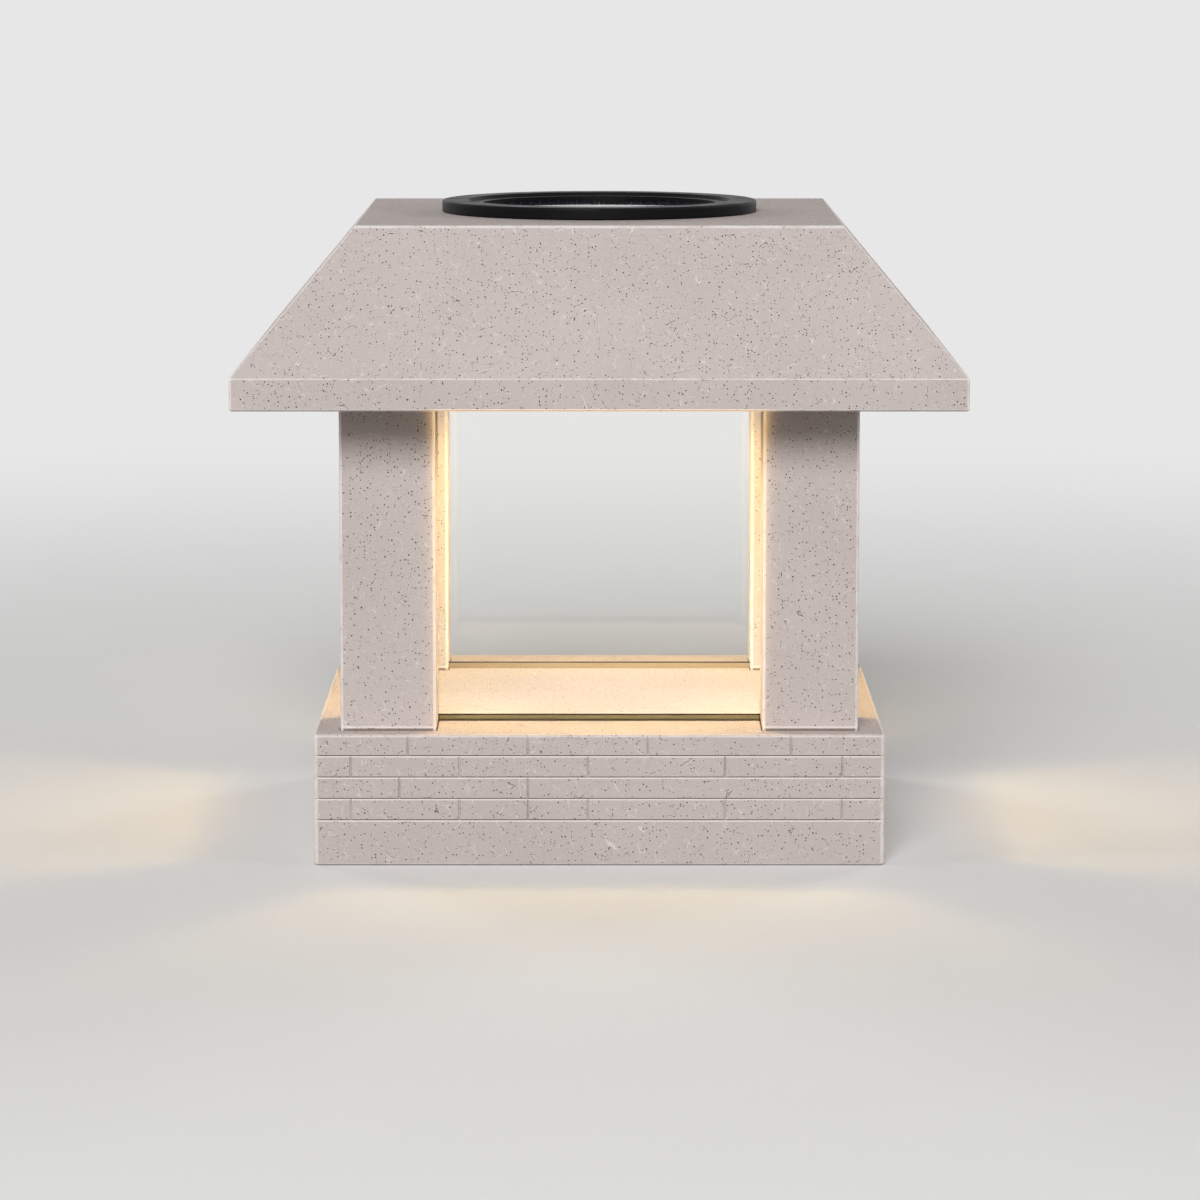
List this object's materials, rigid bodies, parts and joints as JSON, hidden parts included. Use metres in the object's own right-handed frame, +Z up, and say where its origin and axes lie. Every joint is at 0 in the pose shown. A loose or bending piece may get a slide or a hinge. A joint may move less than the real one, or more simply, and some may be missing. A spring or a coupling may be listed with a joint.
{
  "type": "deck post cap light",
  "caption": "Square solar post cap light: hipped roof on columns round a glazed lamp chamber, over a brick-lined skirt that slips onto a deck post; the round solar lamp module lifts out.",
  "frame": {"origin": "centre of the skirt's lower edge, on the part's vertical axis", "axes": "+Z up, the front faces -Y, +X to the right seen from the front"},
  "size_m": [0.15, 0.15, 0.135],
  "materials": {
    "stone_look": "moulded stone look, pale warm grey with fine dark and pale flecks",
    "ceiling": "pale moulded plastic",
    "pane_glass": "clear float glass",
    "clear_strip": "clear silicone",
    "foam": "black closed-cell foam",
    "screw_steel": "stainless steel",
    "black_plastic": "satin black moulded plastic",
    "seal_rubber": "matte black rubber",
    "panel_glass": "clear toughened glass",
    "silicon": "dark blue-black silicon cells",
    "circuit_green": "green circuit board",
    "board_white": "white-faced aluminium lamp board",
    "cell_wrap": "blue shrink wrap",
    "contact_metal": "nickel-plated spring steel",
    "component_black": "black component bodies",
    "lens_frosted": "frosted polycarbonate, lit from inside",
    "reflector_white": "white reflector",
    "led_warm": "warm white LED packages",
    "leads": "insulated leads",
    "switch_metal": "pressed steel case"
  },
  "bodies": {
    "housing": {"base_shell": "stone_look", "column_front_left": "stone_look", "column_front_right": "stone_look", "column_back_left": "stone_look", "column_back_right": "stone_look", "roof_shell": "stone_look", "ceiling_plate": "ceiling", "glass_front": "pane_glass", "glass_right": "pane_glass", "glass_back": "pane_glass", "glass_left": "pane_glass", "pane_foot_strips": "clear_strip", "pane_head_strips": "clear_strip", "post_gasket": "foam", "column_screws_lower": "screw_steel", "column_screws_upper": "screw_steel", "roof_screws": "screw_steel"},
    "module": {"cover_screws": "screw_steel", "lamp_board_screws": "screw_steel", "module_rim": "black_plastic", "module_can": "black_plastic", "module_cover": "black_plastic", "battery_cradle": "black_plastic", "module_seal": "seal_rubber", "cover_seal": "seal_rubber", "solar_glass": "panel_glass", "solar_cells": "silicon", "solar_backing": "circuit_green", "control_board": "circuit_green", "lamp_board": "board_white", "battery": "cell_wrap", "contact_plates": "contact_metal", "battery_spring": "contact_metal", "lamp_pins": "contact_metal", "board_parts": "component_black", "lamp_lens": "lens_frosted", "lamp_reflector": "reflector_white", "leds": "led_warm", "solar_leads": "leads", "battery_leads": "leads", "switch_leads": "leads", "switch_case": "switch_metal"},
    "switch": {"switch_slider": "black_plastic"}
  },
  "joints": [
    {"name": "module_lift", "type": "slide", "parent": "housing", "child": "module", "axis": [0, 0, 1], "range_m": [0, 0.05]},
    {"name": "switch_slide", "type": "slide", "parent": "module", "child": "switch", "axis": [1, 0, 0], "range_m": [0, 0.004]}
  ]
}
